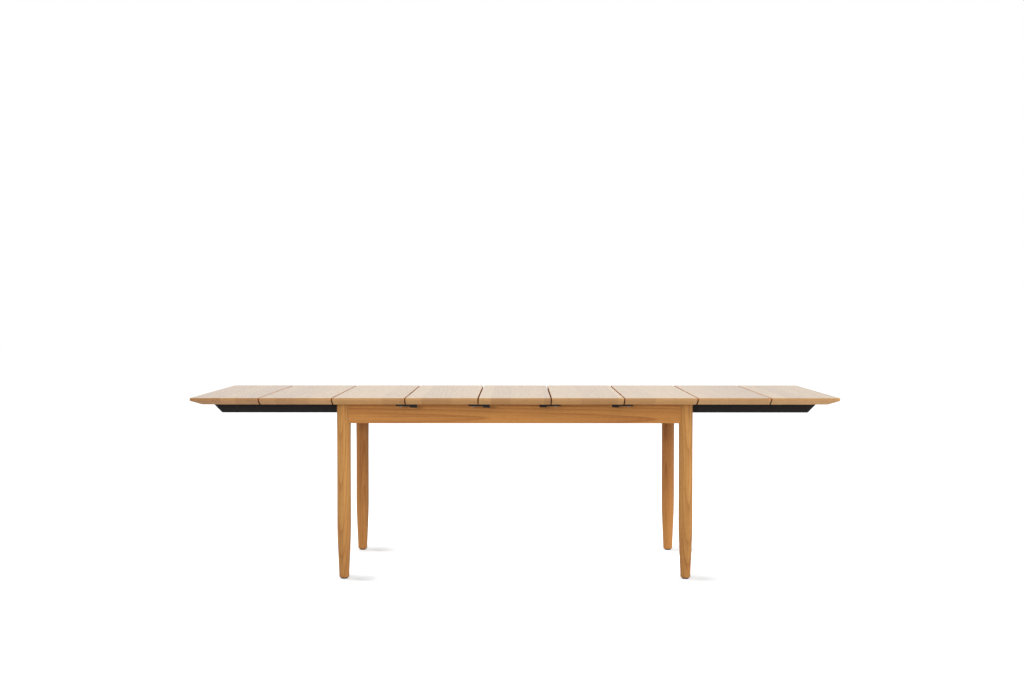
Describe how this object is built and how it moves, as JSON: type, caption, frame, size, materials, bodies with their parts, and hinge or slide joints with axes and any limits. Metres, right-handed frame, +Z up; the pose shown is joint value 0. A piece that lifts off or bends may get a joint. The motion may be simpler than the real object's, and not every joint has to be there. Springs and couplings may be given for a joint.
{
  "type": "extending dining table",
  "caption": "Wooden extending dining table: slatted top on turned tapered legs, sliding halves on black rails with slanted ends, loose leaves joined by swing latches",
  "frame": {"origin": "centre of the footprint, on the floor", "axes": "+X along the table to the picture's right, +Y to the back, +Z up"},
  "size_m": [2.628, 1, 0.75],
  "materials": {
    "top_wood": "satin",
    "frame_wood": "satin",
    "black_metal": "matte",
    "bright_steel": "satin",
    "nylon": "satin",
    "glide_plastic": "matte"
  },
  "bodies": {
    "base": {"leg_front_left": "frame_wood", "leg_front_right": "frame_wood", "leg_back_left": "frame_wood", "leg_back_right": "frame_wood", "foot_glides": "glide_plastic", "front_apron": "frame_wood", "back_apron": "frame_wood", "left_end_apron": "frame_wood", "right_end_apron": "frame_wood", "front_guide_beam": "frame_wood", "back_guide_beam": "frame_wood", "left_cross_slat": "frame_wood", "right_cross_slat": "frame_wood", "corner_blocks": "frame_wood", "leg_bolts": "bright_steel", "guide_shoes": "nylon", "guide_runners": "nylon", "frame_screws": "bright_steel", "rest_pads": "nylon"},
    "left_half": {"left_end_panel": "top_wood", "left_middle_panel": "top_wood", "left_inner_panel": "top_wood", "left_front_rail": "black_metal", "left_back_rail": "black_metal", "left_rail_caps": "black_metal", "left_cross_tie": "black_metal", "left_rail_stops": "bright_steel", "left_rail_screws": "bright_steel", "left_latch_pivots": "bright_steel"},
    "right_half": {"right_end_panel": "top_wood", "right_middle_panel": "top_wood", "right_inner_panel": "top_wood", "right_front_rail": "black_metal", "right_back_rail": "black_metal", "right_rail_caps": "black_metal", "right_cross_tie": "black_metal", "right_rail_stops": "bright_steel", "right_rail_screws": "bright_steel", "right_latch_pivots": "bright_steel"},
    "leaf_left": {"leaf_left_panel": "top_wood", "leaf_left_cleats": "frame_wood", "leaf_left_cleat_screws": "bright_steel", "leaf_left_latch_pins": "bright_steel"},
    "leaf_middle": {"leaf_middle_panel": "top_wood", "leaf_middle_cleats": "frame_wood", "leaf_middle_cleat_screws": "bright_steel", "leaf_middle_latch_pins": "bright_steel"},
    "leaf_right": {"leaf_right_panel": "top_wood", "leaf_right_cleats": "frame_wood", "leaf_right_cleat_screws": "bright_steel", "leaf_right_latch_pins": "bright_steel"},
    "lever_left_outer_front": {"lever_left_outer_front": "black_metal"},
    "lever_left_outer_back": {"lever_left_outer_back": "black_metal"},
    "lever_left_inner_front": {"lever_left_inner_front": "black_metal"},
    "lever_left_inner_back": {"lever_left_inner_back": "black_metal"},
    "lever_right_outer_front": {"lever_right_outer_front": "black_metal"},
    "lever_right_outer_back": {"lever_right_outer_back": "black_metal"},
    "lever_right_inner_front": {"lever_right_inner_front": "black_metal"},
    "lever_right_inner_back": {"lever_right_inner_back": "black_metal"}
  },
  "joints": [
    {"name": "leaf_middle_lift", "type": "slide", "parent": "base", "child": "leaf_middle", "axis": [0, 0, 1], "range_m": [0, 2.1943]},
    {"name": "leaf_left_lift", "type": "slide", "parent": "base", "child": "leaf_left", "axis": [0, 0, 1], "range_m": [0, 2.1065]},
    {"name": "leaf_right_lift", "type": "slide", "parent": "base", "child": "leaf_right", "axis": [0, 0, 1], "range_m": [0, 2.1065]},
    {"name": "left_half_slide", "type": "slide", "parent": "base", "child": "left_half", "axis": [1, 0, 0], "range_m": [0, 0.44325]},
    {"name": "right_half_slide", "type": "slide", "parent": "base", "child": "right_half", "axis": [-1, 0, 0], "range_m": [0, 0.44325]},
    {"name": "lever_left_outer_front_swing", "type": "hinge", "parent": "left_half", "child": "lever_left_outer_front", "pos_m": [-0.46275, -0.442, 0.716], "axis": [0, 0, -1], "range_deg": [0, 180]},
    {"name": "lever_left_outer_back_swing", "type": "hinge", "parent": "left_half", "child": "lever_left_outer_back", "pos_m": [-0.46275, 0.423, 0.716], "axis": [0, 0, 1], "range_deg": [0, 180]},
    {"name": "lever_left_inner_front_swing", "type": "hinge", "parent": "leaf_left", "child": "lever_left_inner_front", "pos_m": [-0.16725, -0.442, 0.716], "axis": [0, 0, -1], "range_deg": [0, 180]},
    {"name": "lever_left_inner_back_swing", "type": "hinge", "parent": "leaf_left", "child": "lever_left_inner_back", "pos_m": [-0.16725, 0.423, 0.716], "axis": [0, 0, 1], "range_deg": [0, 180]},
    {"name": "lever_right_outer_front_swing", "type": "hinge", "parent": "right_half", "child": "lever_right_outer_front", "pos_m": [0.46275, -0.423, 0.716], "axis": [0, 0, 1], "range_deg": [0, 180]},
    {"name": "lever_right_outer_back_swing", "type": "hinge", "parent": "right_half", "child": "lever_right_outer_back", "pos_m": [0.46275, 0.442, 0.716], "axis": [0, 0, -1], "range_deg": [0, 180]},
    {"name": "lever_right_inner_front_swing", "type": "hinge", "parent": "leaf_right", "child": "lever_right_inner_front", "pos_m": [0.16725, -0.423, 0.716], "axis": [0, 0, 1], "range_deg": [0, 180]},
    {"name": "lever_right_inner_back_swing", "type": "hinge", "parent": "leaf_right", "child": "lever_right_inner_back", "pos_m": [0.16725, 0.442, 0.716], "axis": [0, 0, -1], "range_deg": [0, 180]}
  ],
  "couplings": [
    {"joint": "leaf_left_lift", "follows": "leaf_middle_lift", "ratio": 0.96},
    {"joint": "leaf_right_lift", "follows": "leaf_middle_lift", "ratio": 0.96},
    {"joint": "left_half_slide", "follows": "leaf_middle_lift", "ratio": 0.202},
    {"joint": "right_half_slide", "follows": "leaf_middle_lift", "ratio": 0.202}
  ]
}
